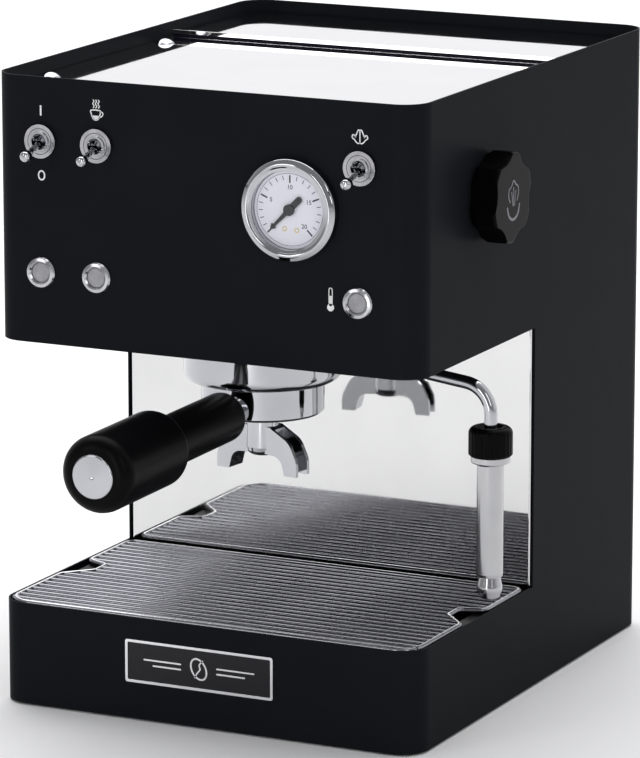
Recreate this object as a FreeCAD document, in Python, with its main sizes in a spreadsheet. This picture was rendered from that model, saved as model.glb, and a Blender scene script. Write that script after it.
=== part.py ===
import FreeCAD, Part

import math
import os

import Sketcher
from FreeCAD import Placement, Rotation, Vector

# Espresso machine.  +X is the user's right, +Y runs from the front to the back, +Z is up.
# The origin is on the counter, below the middle of the body.

DIMENSIONS = [
    # the body, a wrapped sheet that is C-shaped from the side
    ("body_width", 274.6),
    ("body_depth", 336.9),
    ("body_height", 380.0),
    ("corner_radius", 17.0),
    ("sheet_wall", 1.2),
    ("foot_gap", 1.0),
    ("head_bottom", 222.0),
    ("base_top", 62.6),
    ("column_front", -2.6),
    # the top
    ("plate_top", 371.0),
    ("lid_front", 53.0),
    ("lid_lip_top", 375.7),
    ("lid_width", 266.0),
    # the front panel
    ("switch_height", 342.4),
    ("power_x", -103.9),
    ("brew_x", -67.1),
    ("steam_x", 101.5),
    ("light_height", 264.4),
    ("gauge_x", 57.9),
    ("gauge_height", 315.3),
    ("gauge_radius", 30.0),
    ("badge_height", 36.4),
    ("badge_x", -2.9),
    ("badge_width", 97.0),
    ("badge_tall", 26.0),
    # the group and the portafilter
    ("group_y", -90.0),
    ("bell_radius", 47.0),
    ("bell_bottom", 196.0),
    ("ring_radius", 36.6),
    ("ring_bottom", 176.5),
    ("spout_bottom", 140.0),
    ("spout_reach", 28.4),
    ("handle_height", 183.2),
    ("handle_droop", 0.45),
    ("handle_end", 211.5),
    # the steam side
    ("knob_y", -75.0),
    ("knob_height", 314.0),
    ("knob_depth", 17.0),
    ("wand_root_x", 75.0),
    ("wand_x", 142.4),
    ("wand_y", -78.0),
    ("wand_tip", 75.3),
    ("tube_radius", 3.9),
    # the base
    ("wire_radius", 1.75),
    ("bar_radius", 1.6),
    ("bar_pitch", 7.5),
    ("grille_half", 133.0),
    ("tray_rim", 58.7),
    # the inside
    ("shelf_height", 196.0),
    ("tank_width", 200.0),
    ("tank_depth", 98.0),
    ("tank_middle", 107.0),
    ("boiler_radius", 44.0),
]

doc = FreeCAD.newDocument("EspressoMachine")
sheet = doc.addObject("Spreadsheet::Sheet", "Dimensions")
for row, (alias, number) in enumerate(DIMENSIONS, start=1):
    sheet.set(f"A{row}", alias)
    sheet.set(f"B{row}", str(number))
    sheet.setAlias(f"B{row}", alias)
doc.recompute()


class Size:
    """A number together with the sheet expression that gives it."""

    def __init__(self, value, text):
        self.value = value
        self.text = text

    def __add__(self, other):
        other = size(other)
        return Size(self.value + other.value, f"({self.text} + {other.text})")

    def __sub__(self, other):
        other = size(other)
        return Size(self.value - other.value, f"({self.text} - {other.text})")

    def __mul__(self, other):
        other = size(other)
        return Size(self.value * other.value, f"({self.text} * {other.text})")

    def __truediv__(self, other):
        other = size(other)
        return Size(self.value / other.value, f"({self.text} / {other.text})")

    def __radd__(self, other):
        return size(other) + self

    def __rsub__(self, other):
        return size(other) - self

    def __rmul__(self, other):
        return size(other) * self

    def __neg__(self):
        return size(0) - self


def size(number):
    """Turn a plain number into a Size; a Size stays as it is."""
    if isinstance(number, Size):
        return number
    return Size(float(number), f"({float(number)})")


def cell(alias):
    """The named cell of the sheet."""
    return Size(float(dict(DIMENSIONS)[alias]), f"Dimensions.{alias}")


# ---------------------------------------------------------------- helpers: placing and binding

FORWARD = Rotation(Vector(1, 0, 0), 90)  # a turned piece's axis points at the user
RIGHTWARD = Rotation(Vector(0, 1, 0), 90)  # a turned piece's axis points right

sub_parts = []


def bind(piece, **sizes):
    """Bind properties of an object to the sheet."""
    for name, number in sizes.items():
        piece.setExpression(name, size(number).text)


def place(piece, x=0, y=0, z=0, turn=None):
    """Put an object at (x, y, z), bound to the sheet."""
    piece.Placement = Placement(Vector(), turn or Rotation())
    for letter, number in zip("xyz", (x, y, z)):
        piece.setExpression(f"Placement.Base.{letter}", size(number).text)
    return piece


def keep(piece, label):
    """Make an object one of the machine's sub-parts."""
    piece.Label = label
    sub_parts.append(piece)
    return piece


# ---------------------------------------------------------------- helpers: sketches and bodies

def corner_arc(before, corner, after, radius):
    """Tangent points and centre of the arc that rounds a corner, and whether it turns left."""
    to_before = (before - corner).normalize()
    to_after = (after - corner).normalize()
    half = to_before.getAngle(to_after) / 2
    reach = radius / math.tan(half)
    middle = (to_before + to_after).normalize()
    centre = corner + middle * (radius / math.sin(half))
    left = to_before.cross(to_after).z < 0
    return corner + to_before * reach, corner + to_after * reach, centre, left


def outline_constraints(sketch, corners):
    """Draw a closed outline.  A corner is (across, up) or (across, up, rounding radius)."""
    count = len(corners)
    points = [Vector(size(c[0]).value, size(c[1]).value, 0) for c in corners]
    radii = [size(c[2]) if len(c) > 2 else None for c in corners]
    arcs = [None] * count
    for i in range(count):
        if radii[i]:
            arcs[i] = corner_arc(points[i - 1], points[i], points[(i + 1) % count], radii[i].value)
    lines = []
    for i in range(count):
        following = (i + 1) % count
        start = arcs[i][1] if arcs[i] else points[i]
        end = arcs[following][0] if arcs[following] else points[following]
        lines.append(sketch.addGeometry(Part.LineSegment(start, end), False))
    rules = []
    for i in range(count):
        if arcs[i]:
            sharp = sketch.addGeometry(Part.Point(points[i]), True)
            rules += round_corner(sketch, lines[i - 1], lines[i], arcs[i], radii[i], sharp)
            rules += pinned(sharp, 1, corners[i])
        else:
            rules.append((Sketcher.Constraint("Coincident", lines[i - 1], 2, lines[i], 1), None))
            rules += pinned(lines[i], 1, corners[i])
    return rules


def round_corner(sketch, line_in, line_out, arc, radius, sharp):
    """Round the corner between two lines, tangent to both, which meet at the sharp point."""
    into, out_of, centre, left = arc
    first, last = (into, out_of) if left else (out_of, into)
    circle = Part.Circle(centre, Vector(0, 0, 1), radius.value)
    start = math.atan2(first.y - centre.y, first.x - centre.x)
    end = math.atan2(last.y - centre.y, last.x - centre.x)
    index = sketch.addGeometry(Part.ArcOfCircle(circle, start, end), False)
    in_end, out_end = (1, 2) if left else (2, 1)
    return [
        (Sketcher.Constraint("Tangent", line_in, 2, index, in_end), None),
        (Sketcher.Constraint("Tangent", line_out, 1, index, out_end), None),
        (Sketcher.Constraint("Radius", index, radius.value), radius),
        (Sketcher.Constraint("PointOnObject", sharp, 1, line_in), None),
        (Sketcher.Constraint("PointOnObject", sharp, 1, line_out), None),
    ]


def pinned(geometry, end, corner):
    """Pin a point of a sketch by two sizes measured from the sketch's origin."""
    rules = []
    for kind, axis, number in (("DistanceX", -2, corner[0]), ("DistanceY", -1, corner[1])):
        distance = size(number)
        if distance.value == 0:
            rules.append((Sketcher.Constraint("PointOnObject", geometry, end, axis), None))
        else:
            rules.append((Sketcher.Constraint(kind, -1, 1, geometry, end, distance.value), distance))
    return rules


def circle_constraints(sketch, x, y, radius):
    """Draw a circle with a bound centre and radius."""
    x, y, radius = size(x), size(y), size(radius)
    circle = Part.Circle(Vector(x.value, y.value, 0), Vector(0, 0, 1), radius.value)
    index = sketch.addGeometry(circle, False)
    return [(Sketcher.Constraint("Radius", index, radius.value), radius)] + pinned(index, 3, (x, y))


def sketch_on(body, plane, outlines=(), circles=(), level=0):
    """A sketch on one of the body's origin planes, moved along the plane's normal by level."""
    sketch = body.newObject("Sketcher::SketchObject", "Sketch")
    support = [f for f in body.Origin.OriginFeatures if f.Role == f"{plane}_Plane"][0]
    sketch.AttachmentSupport = [(support, "")]
    sketch.MapMode = "FlatFace"
    sketch.setExpression("AttachmentOffset.Base.z", size(level).text)
    rules = []
    for corners in outlines:
        rules += outline_constraints(sketch, corners)
    for x, y, radius in circles:
        rules += circle_constraints(sketch, x, y, radius)
    sketch.addConstraint([rule for rule, _ in rules])
    for index, (_, number) in enumerate(rules):
        if number is not None:
            sketch.renameConstraint(index, f"size_{index}")
            sketch.setExpression(f"Constraints.size_{index}", number.text)
    return sketch


def rectangle(left, bottom, right, top, radius=None):
    """The four corners of an upright rectangle, rounded if a radius is given."""
    corners = [(left, bottom), (right, bottom), (right, top), (left, top)]
    if radius is None:
        return corners
    return [corner + (radius,) for corner in corners]


def new_body(label):
    """A PartDesign body that is one of the machine's sub-parts."""
    body = doc.addObject("PartDesign::Body", label)
    return keep(body, label)


def pad(body, sketch, length, symmetric=False):
    """Pad a sketch, along its normal or evenly to both sides."""
    feature = body.newObject("PartDesign::Pad", "Pad")
    feature.Profile = sketch
    feature.SideType = "Symmetric" if symmetric else "One side"
    bind(feature, Length=length)
    return feature


def pocket(body, sketch, length):
    """Cut a sketch out, evenly to both sides of its plane."""
    feature = body.newObject("PartDesign::Pocket", "Pocket")
    feature.Profile = sketch
    feature.SideType = "Symmetric"
    bind(feature, Length=length)
    return feature


def revolve(body, sketch):
    """Turn a sketch round its vertical axis."""
    feature = body.newObject("PartDesign::Revolution", "Revolution")
    feature.Profile = sketch
    feature.ReferenceAxis = (sketch, ["V_Axis"])
    feature.Angle = 360
    return feature


def turned(label, profile, x=0, y=0, z=0, turn=None):
    """A turned sub-part: (radius, along) corners about an axis placed at (x, y, z)."""
    body = new_body(label)
    revolve(body, sketch_on(body, "XZ", [profile]))
    return place(body, x, y, z, turn)


# ---------------------------------------------------------------- helpers: primitives

def box(label, x, y, z, length, width, height):
    """A box from its lowest corner and its sizes along X, Y and Z."""
    piece = doc.addObject("Part::Box", label)
    bind(piece, Length=length, Width=width, Height=height)
    return place(piece, x, y, z)


def cylinder(label, x, y, z, radius, height, turn=None):
    """A cylinder from the centre of its lower end."""
    piece = doc.addObject("Part::Cylinder", label)
    bind(piece, Radius=radius, Height=height)
    return place(piece, x, y, z, turn)


def hexagon(label, x, y, z, radius, height, turn=None):
    """A hexagonal bar from the centre of its lower end."""
    piece = doc.addObject("Part::Prism", label)
    piece.Polygon = 6
    bind(piece, Circumradius=radius, Height=height)
    return place(piece, x, y, z, turn)


def fuse(label, pieces):
    """Join several objects into one."""
    joined = doc.addObject("Part::MultiFuse", label)
    joined.Shapes = pieces
    return joined


def cut(label, base, tool):
    """Cut one object by another."""
    result = doc.addObject("Part::Cut", label)
    result.Base = base
    result.Tool = tool
    return result


def group_of(label, pieces):
    """Several separate solids kept as one sub-part."""
    together = doc.addObject("Part::Compound", label)
    together.Links = pieces
    return keep(together, label)


def route_wire(label, corners, bend):
    """A route of straight runs and tangent arcs, closed if it ends where it began.

    A corner may have a fourth value, its own bend radius.
    """
    points = [Vector(*[size(number).value for number in corner[:3]]) for corner in corners]
    bends = [corner[3] if len(corner) > 3 else bend for corner in corners]
    closed = points[0].isEqual(points[-1], 0.001)
    if closed:
        points = points[:-1]
    count = len(points)
    rounded = range(count) if closed else range(1, count - 1)
    ends = {i: (points[i], points[i]) for i in range(count)}
    arcs = {}
    for i in rounded:
        before, corner, after = points[i - 1], points[i], points[(i + 1) % count]
        to_before = (before - corner).normalize()
        to_after = (after - corner).normalize()
        half = to_before.getAngle(to_after) / 2
        reach = bends[i] / math.tan(half)
        middle = (to_before + to_after).normalize()
        top = corner + middle * (bends[i] / math.sin(half) - bends[i])
        ends[i] = (corner + to_before * reach, corner + to_after * reach)
        arcs[i] = Part.Arc(ends[i][0], top, ends[i][1]).toShape()
    edges = []
    for i in range(count if closed else count - 1):
        following = (i + 1) % count
        if i in arcs:
            edges.append(arcs[i])
        edges.append(Part.makeLine(ends[i][1], ends[following][0]))
    wire = doc.addObject("Part::Feature", label + "_route")
    wire.Shape = Part.Wire(edges)
    return wire


def rod(label, corners, radius, bend):
    """A round rod swept along a route, with its radius bound to the sheet."""
    wire = route_wire(label, corners, bend)
    first = wire.Shape.OrderedEdges[0]
    start = first.valueAt(first.FirstParameter)
    heading = first.tangentAt(first.FirstParameter)
    section = doc.addObject("Part::Circle", label + "_section")
    bind(section, Radius=radius)
    section.Placement = Placement(start, Rotation(Vector(0, 0, 1), heading))
    sweep = doc.addObject("Part::Sweep", label)
    sweep.Sections = [section]
    sweep.Spine = (wire, [f"Edge{i}" for i in range(1, len(wire.Shape.Edges) + 1)])
    sweep.Solid = True
    sweep.Frenet = False
    return sweep


# ---------------------------------------------------------------- places worked out from the sheet

half_width = cell("body_width") / 2
half_depth = cell("body_depth") / 2
front = -half_depth
wall = cell("sheet_wall")
inner_half = half_width - wall
inner_front = front + wall
inner_back = half_depth - wall
inner_corner = cell("corner_radius") - wall
shell_bottom = cell("foot_gap")
plate_under = cell("plate_top") - wall
group_y = cell("group_y")

SWITCHES = [("power", cell("power_x")), ("brew", cell("brew_x")), ("steam", cell("steam_x"))]
LIGHTS = [("power", cell("power_x") - 1.3), ("brew", cell("brew_x") - 1.4), ("heat", cell("steam_x") - 1.8)]
SIDES = (-1, 1)

BUSHING_RADIUS = 5.9
LIGHT_BODY_RADIUS = 6.5
GAUGE_CASE_RADIUS = 26.0
HOLE_GAP = 0.2
SCREW_RADIUS = 2.0
SCREW_HOLE_RADIUS = 2.2
NUT_RADIUS = 10.0
LID_SEAT = 0.05


# ---------------------------------------------------------------- the case

def body_shell():
    """The wrapped sheet: front of the head, sides, back and front of the base in one piece."""
    body = new_body("body_shell")
    outer = rectangle(-half_width, front, half_width, half_depth, cell("corner_radius"))
    inner = rectangle(-inner_half, inner_front, inner_half, inner_back, inner_corner)
    pad(body, sketch_on(body, "XY", [outer], level=shell_bottom), cell("body_height") - shell_bottom)
    # the wrap is open at the top and the bottom; two ledges are left inside it
    ledge_low = cell("tray_rim") - 1.3
    ledge_high = cell("tray_rim") - 0.1
    tab_low = plate_under - 1.7
    tab_high = plate_under - 0.1
    opening = rectangle(-128.3, front + 8, 128.3, cell("column_front") + 40, 12)
    top_opening = rectangle(-inner_half + 14, inner_front + 6, inner_half - 14, inner_back - 4, 6)
    for low, high, outline in (
        (shell_bottom, ledge_low, inner),
        (ledge_low, ledge_high, opening),
        (ledge_high, tab_low, inner),
        (tab_low, tab_high, top_opening),
        (tab_high, cell("body_height"), inner),
    ):
        middle = (low + high) / 2
        pocket(body, sketch_on(body, "XY", [outline], level=middle), high - low)
    # the space over the drip tray, open to the front and both sides
    notch = rectangle(front - 10, cell("base_top"), cell("column_front"), cell("head_bottom"))
    pocket(body, sketch_on(body, "YZ", [notch]), cell("body_width") + 20)
    # behind the tray ledge the column is open down to the floor of the case
    column = rectangle(-inner_half, 10, inner_half, inner_back - 20)
    pocket(body, sketch_on(body, "XY", [column], level=cell("tray_rim") - 0.7), 1.6)
    # holes in the front panel
    holes = [(x, cell("switch_height"), BUSHING_RADIUS + HOLE_GAP) for _, x in SWITCHES]
    holes += [(x, cell("light_height"), LIGHT_BODY_RADIUS + HOLE_GAP) for _, x in LIGHTS]
    holes.append((cell("gauge_x"), cell("gauge_height"), GAUGE_CASE_RADIUS + HOLE_GAP))
    pocket(body, sketch_on(body, "XZ", circles=holes, level=half_depth), 8)
    # holes in the two upper tabs for the plate's screws
    screws = [(x, y, SCREW_HOLE_RADIUS) for x, y in plate_screw_centres()]
    pocket(body, sketch_on(body, "XY", circles=screws, level=(tab_low + tab_high) / 2), 2.4)
    # the hole for the steam spindle in the right side
    spindle = [(cell("knob_y"), cell("knob_height"), 6)]
    pocket(body, sketch_on(body, "YZ", circles=spindle, level=half_width), 8)
    # the back: a cut-out for the power inlet and two rows of cooling slots
    back = [rectangle(-86, 24.8, -58, 49.2, 2)]
    for rise in range(6):
        level = 252 + 12 * rise
        back.append(rectangle(-60, level, -6, level + 4, 1.9))
        back.append(rectangle(6, level, 60, level + 4, 1.9))
    pocket(body, sketch_on(body, "XZ", back, level=-half_depth), 8)
    return body


def base_plate():
    """The floor of the case, with slots under the pump."""
    body = new_body("base_plate")
    gap = 0.2
    outline = rectangle(
        -inner_half + gap, inner_front + gap, inner_half - gap, inner_back - gap, inner_corner - gap
    )
    slots = [rectangle(-50 + 14 * i, 40, -44 + 14 * i, 120, 2.9) for i in range(8)]
    feet = [(x, y, SCREW_HOLE_RADIUS) for x, y in foot_centres()]
    pad(body, sketch_on(body, "XY", [outline] + slots, feet, level=3), 1.5)
    return body


def foot_centres():
    """Where the four feet stand."""
    reach_x = half_width - 19
    reach_y = half_depth - 19
    return [(reach_x * i, reach_y * j) for i in SIDES for j in SIDES]


def feet():
    """Four rubber feet, round, each with a hole for its screw."""
    pieces = []
    for i, (x, y) in enumerate(foot_centres()):
        disc = cylinder(f"foot_{i}", x, y, 0, 15, 3)
        hole = fuse(
            f"foot_hole_{i}",
            [
                cylinder(f"foot_bore_{i}", x, y, 0, SCREW_HOLE_RADIUS, 3),
                cylinder(f"foot_sink_{i}", x, y, 0, 4.4, 1.6),
            ],
        )
        pieces.append(cut(f"foot_pad_{i}", disc, hole))
    return group_of("feet", pieces)


def foot_screws():
    """The four screws that hold the feet, their heads sunk into the rubber."""
    pieces = []
    for i, (x, y) in enumerate(foot_centres()):
        head = cylinder(f"foot_screw_head_{i}", x, y, 0.6, 4.1, 1)
        shank = cylinder(f"foot_screw_shank_{i}", x, y, 1.6, SCREW_RADIUS, 6.4)
        pieces.append(fuse(f"foot_screw_{i}", [head, shank]))
    return group_of("foot_screws", pieces)


def head_floor():
    """The plate under the head, with the group's hole and the wand's hole."""
    body = new_body("head_floor")
    gap = 0.3
    outline = rectangle(-inner_half + gap, inner_front + gap, inner_half - gap, cell("column_front") + 4)
    outline[0] += (inner_corner - gap,)
    outline[1] += (inner_corner - gap,)
    holes = [
        (0, group_y, cell("bell_radius") + 0.4),
        (cell("wand_root_x"), cell("wand_y"), 7.3),
    ]
    pad(body, sketch_on(body, "XY", [outline], holes, level=cell("head_bottom") + 0.6), 1.2)
    return body


def splash_panel():
    """The polished panel behind the group, with its side edges bent back."""
    body = new_body("splash_panel")
    face = cell("column_front") + 0.2
    reach = inner_half - 0.5
    back = face + 12
    outline = [
        (-reach, back),
        (-reach, face, 1.8),
        (reach, face, 1.8),
        (reach, back),
        (reach - 1, back),
        (reach - 1, face + 1, 0.8),
        (-reach + 1, face + 1, 0.8),
        (-reach + 1, back),
    ]
    low = cell("tray_rim") + 0.2
    pad(body, sketch_on(body, "XY", [outline], level=low), cell("head_bottom") - low)
    return body


def badge_plate():
    """The plain framed badge on the front of the base."""
    body = new_body("badge_plate")
    half = cell("badge_width") / 2
    tall = cell("badge_tall") / 2
    face = rectangle(-half, -tall, half, tall, 1.5)
    pad(body, sketch_on(body, "XZ", [face]), 1.0)
    window = rectangle(-half + 1.6, -tall + 1.6, half - 1.6, tall - 1.6, 0.8)
    pocket(body, sketch_on(body, "XZ", [window], level=1.0), 1.3)
    return place(body, cell("badge_x"), front, cell("badge_height"))


# ---------------------------------------------------------------- the top

def tank_opening(gap, corner):
    """The outline of the water tank, made larger by a gap, with round corners."""
    half = cell("tank_width") / 2 + gap
    deep = cell("tank_depth") / 2 + gap
    middle = cell("tank_middle")
    return rectangle(-half, middle - deep, half, middle + deep, corner)


def warming_plate():
    """The polished cup-warming plate, sunk below the rim of the body."""
    body = new_body("warming_plate")
    gap = 0.4
    outline = rectangle(
        -inner_half + gap, inner_front + gap, inner_half - gap, inner_back - gap, inner_corner - gap
    )
    screws = [(x, y, SCREW_HOLE_RADIUS) for x, y in plate_screw_centres()]
    sketch = sketch_on(body, "XY", [outline, tank_opening(4, 10)], screws, level=plate_under)
    pad(body, sketch, wall)
    return body


def plate_screw_centres():
    """Where the four screws of the warming plate stand."""
    return [(x, y) for x in (-126, 126) for y in (-117.5, 28)]


def plate_screws():
    """Four dome-headed screws."""
    pieces = []
    for i, (x, y) in enumerate(plate_screw_centres()):
        dome = doc.addObject("Part::Sphere", f"plate_screw_dome_{i}")
        bind(dome, Radius=7.5)
        place(dome, x, y, cell("plate_top") - 4.5)
        above = cylinder(f"plate_screw_above_{i}", x, y, cell("plate_top"), 8, 4)
        head = doc.addObject("Part::Common", f"plate_screw_head_{i}")
        head.Base = dome
        head.Tool = above
        shank = cylinder(f"plate_screw_shank_{i}", x, y, cell("plate_top") - 9, SCREW_RADIUS, 9.5)
        pieces.append(fuse(f"plate_screw_{i}", [head, shank]))
    return group_of("plate_screws", pieces)


def tank_lid():
    """The loose lid over the tank, with an upturned lip to lift it by."""
    body = new_body("tank_lid")
    half = cell("lid_width") / 2
    back = inner_back - 1.5
    outline = [
        (-half, cell("lid_front")),
        (half, cell("lid_front")),
        (half, back, inner_corner),
        (-half, back, inner_corner),
    ]
    level = cell("plate_top") + LID_SEAT
    pad(body, sketch_on(body, "XY", [outline], level=level), 1.2)
    lip = rectangle(-half, cell("lid_front"), half, cell("lid_front") + 1.2)
    pad(body, sketch_on(body, "XY", [lip], level=level), cell("lid_lip_top") - level)
    return body


# ---------------------------------------------------------------- the water side

def water_tank():
    """The clear tank, open at the top, with a spigot that plugs into the tank valve."""
    body = new_body("water_tank")
    bottom = cell("shelf_height") + 1.4
    top = plate_under - 1.5
    skin = 2.4
    pad(body, sketch_on(body, "XY", [tank_opening(0, 3.2)], level=bottom), top - bottom)
    hollow = top + 2 - bottom - skin
    inside = tank_opening(-skin, 0.8)
    pocket(body, sketch_on(body, "XY", [inside], level=bottom + skin + hollow / 2), hollow)
    spigot = sketch_on(body, "XY", circles=[(0, cell("tank_middle"), 6)], level=bottom - 9)
    pad(body, spigot, 10)
    bore = sketch_on(body, "XY", circles=[(0, cell("tank_middle"), 3.5)], level=bottom - 2)
    pocket(body, bore, 20)
    return body


def tank_shelf():
    """The shelf that carries the tank, bent down at both ends."""
    body = new_body("tank_shelf")
    reach = inner_half - 0.3
    level = cell("shelf_height")
    section = [
        (-reach, level - 14),
        (-reach + 1.2, level - 14),
        (-reach + 1.2, level),
        (reach - 1.2, level),
        (reach - 1.2, level - 14),
        (reach, level - 14),
        (reach, level + 1.2),
        (-reach, level + 1.2),
    ]
    near = cell("column_front") + 16
    deep = inner_back - 18 - near
    pad(body, sketch_on(body, "XZ", [section], level=-(near + deep)), deep)
    hole = sketch_on(body, "XY", circles=[(0, cell("tank_middle"), 9.3)], level=level)
    pocket(body, hole, 8)
    return body


def tank_valve():
    """The socket under the shelf that takes the tank's spigot, with a hose barb below."""
    top = cell("shelf_height") + 1.2
    profile = [
        (0, top - 26),
        (2.9, top - 26),
        (2.9, top - 14),
        (9, top - 14),
        (9, top),
        (6.4, top),
        (6.4, top - 11),
        (0, top - 11),
    ]
    return turned("tank_valve", profile, y=cell("tank_middle"))


def pump():
    """The vibration pump: a coil frame round a tube, with a threaded outlet end."""
    x, y, z = -10, 62, 60
    frame = box("pump_frame", x - 22, y - 19, z - 21, 44, 38, 42)
    barrel = cylinder("pump_barrel", x - 50, y, z, 11, 100, RIGHTWARD)
    inlet = cylinder("pump_inlet", x + 50, y, z, 3, 12, RIGHTWARD)
    outlet = cylinder("pump_outlet", x - 62, y, z, 6, 14, RIGHTWARD)
    valve = cylinder("pump_relief_valve", x - 56, y, z, 5, 16)
    return keep(fuse("pump_joined", [frame, barrel, inlet, outlet, valve]), "pump")


def pump_mounts():
    """Two rubber saddles that carry the pump's barrel above the floor."""
    pieces = []
    for i, x in enumerate((-50, 22)):
        block = box(f"saddle_block_{i}", x, 47, 4.5, 8, 30, 52)
        seat = cylinder(f"saddle_seat_{i}", x - 1, 62, 60, 11.2, 10, RIGHTWARD)
        pieces.append(cut(f"saddle_{i}", block, seat))
    return group_of("pump_mounts", pieces)


def suction_hose():
    """The silicone hose from the tank valve down to the pump."""
    y = cell("tank_middle")
    top = cell("shelf_height") + 1.2 - 15
    corners = [(0, y, top), (0, y, 118), (62, 62, 104), (76, 62, 60), (44, 62, 60)]
    outside = rod("hose_outside", corners, 4.6, 12)
    inside = rod("hose_inside", corners, 3.05, 12)
    return keep(cut("hose_cut", outside, inside), "suction_hose")


def pressure_pipe():
    """The pipe from the pump's outlet, up between panel and shelf, to the brew valve."""
    corners = [
        (-72, 62, 60),
        (-98, 62, 60),
        (-98, 5.5, 110),
        (-98, 5.5, 262),
        (-66, -10, 262),
        (-66, -48.8, 262),
    ]
    return keep(rod("pressure_rod", corners, 2.5, 12), "pressure_pipe")


# ---------------------------------------------------------------- the heat side

def boiler_body():
    """The boiler's cup, standing on the group, with a flange at its top."""
    radius = cell("boiler_radius")
    low = 238.2
    profile = [
        (0, low),
        (radius - 2, low, 4),
        (radius - 2, 300),
        (radius + 6, 300),
        (radius + 6, 305),
        (radius - 5, 305),
        (radius - 5, low + 4, 3),
        (0, low + 4),
    ]
    return turned("boiler_body", profile, y=group_y)


def boiler_lid():
    """The boiler's lid, with the ends of the heating element standing on it."""
    radius = cell("boiler_radius") + 6
    body = new_body("boiler_lid")
    pad(body, sketch_on(body, "XY", circles=[(0, group_y, radius)], level=305.2), 5)
    ends = [(-16, group_y - 10, 3.2), (-16, group_y + 10, 3.2)]
    pad(body, sketch_on(body, "XY", circles=ends, level=310), 16)
    hanging = sketch_on(body, "XY", circles=ends, level=260)
    pad(body, hanging, 46)
    loop = rectangle(-19.2, group_y - 13.2, -12.8, group_y + 13.2, 3)
    pad(body, sketch_on(body, "XY", [loop], level=254), 6.4)
    return body


def boiler_bolts():
    """Six bolts through the boiler's flange."""
    pieces = []
    for i in range(6):
        angle = math.radians(60 * i + 30)
        reach = cell("boiler_radius") + 1.6
        x = reach * math.cos(angle)
        y = group_y + reach * math.sin(angle)
        pieces.append(hexagon(f"boiler_bolt_{i}", x, y, 310.4, 4, 4))
    return group_of("boiler_bolts", pieces)


def thermostats():
    """Two clip-on thermostats on the boiler's lid."""
    pieces = []
    for i, x in enumerate((8, 28)):
        base = cylinder(f"thermostat_base_{i}", x, group_y + 4, 310.4, 8, 5)
        cap = cylinder(f"thermostat_cap_{i}", x, group_y + 4, 315.4, 5.5, 6)
        pieces.append(fuse(f"thermostat_{i}", [base, cap]))
    return group_of("thermostats", pieces)


def brew_solenoid():
    """The three-way brew valve beside the boiler: a coil on a brass block."""
    x, y = -66, group_y + 30
    block = box("solenoid_block", x - 11, y - 11, 250, 22, 22, 24)
    coil = box("solenoid_coil", x - 15, y - 14, 274, 30, 28, 32)
    core = cylinder("solenoid_core", x, y, 306, 5, 8)
    return keep(fuse("solenoid_joined", [block, coil, core]), "brew_solenoid")


# ---------------------------------------------------------------- the steam side

def steam_valve():
    """The steam valve: a round body behind the right side, with a bore for the spindle."""
    y, z = cell("knob_y"), cell("knob_height")
    barrel = cylinder("valve_barrel", 96, y, z, 12, 38, RIGHTWARD)
    outlet = cylinder("valve_outlet", 104, y, z - 22, 5, 14)
    bore = cylinder("valve_bore", 114, y, z, 4.06, 24, RIGHTWARD)
    return keep(cut("valve_cut", fuse("valve_solid", [barrel, outlet]), bore), "steam_valve")


def steam_pipe():
    """Two copper pipes: boiler lid to valve, and valve to the wand's joint."""
    y, z = cell("knob_y"), cell("knob_height")
    way_in = [(30, -64, 311), (30, -64, 330), (70, -75, 330), (84, y, 314), (95.8, y, z)]
    first = rod("pipe_in", way_in, 2.5, 7)
    root_x, root_y = cell("wand_root_x"), cell("wand_y")
    second = rod(
        "pipe_out",
        [(104, y, z - 22.2), (104, y, 262), (root_x, root_y, 250), (root_x, root_y, 233)],
        2.5,
        8,
    )
    return group_of("steam_pipe", [first, second])


def steam_spindle():
    """The spindle that joins the knob to the steam valve."""
    start = 116
    length = half_width + 8 - start
    spindle = cylinder("spindle_rod", start, cell("knob_y"), cell("knob_height"), 4, length, RIGHTWARD)
    return keep(spindle, "steam_spindle")


def steam_knob():
    """The fluted knob, its axis pointing right."""
    body = new_body("steam_knob")
    depth = cell("knob_depth")
    profile = [(0, 0.6), (24.5, 0.6), (26.8, 4), (26.8, depth, 1.6), (0, depth)]
    revolve(body, sketch_on(body, "XZ", [profile]))
    flutes = []
    for i in range(6):
        angle = math.radians(60 * i + 22)
        flutes.append((42.5 * math.cos(angle), 42.5 * math.sin(angle), 20.0))
    pocket(body, sketch_on(body, "XY", circles=flutes), 60)
    pocket(body, sketch_on(body, "XY", circles=[(0, 0, 4.05)]), 16.6)
    return place(body, half_width, cell("knob_y"), cell("knob_height"), RIGHTWARD)


def wand_joint():
    """The nut under the head in which the wand swivels."""
    x, y = cell("wand_root_x"), cell("wand_y")
    nut = hexagon("joint_nut", x, y, 217, 10, cell("head_bottom") + 0.5 - 217)
    neck = cylinder("joint_neck", x, y, 220, 7, 12)
    bore = cylinder("joint_bore", x, y, 216, cell("tube_radius") + 0.06, 14)
    return keep(cut("joint_cut", fuse("joint_solid", [nut, neck]), bore), "wand_joint")


def wand_tube():
    """The bent steam tube, from the joint out over the tray's edge and down."""
    root_x, x, y = cell("wand_root_x"), cell("wand_x"), cell("wand_y")
    out = rod("wand_rod_out", [(root_x, y, 228), (root_x, y, 209.5), (111, y, 205)], cell("tube_radius"), 7.6)
    down = rod("wand_rod_down", [(111, y, 205), (x, y, 201.07), (x, y, 150)], cell("tube_radius"), 18)
    return keep(fuse("wand_rods", [out, down]), "wand_tube")


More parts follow.
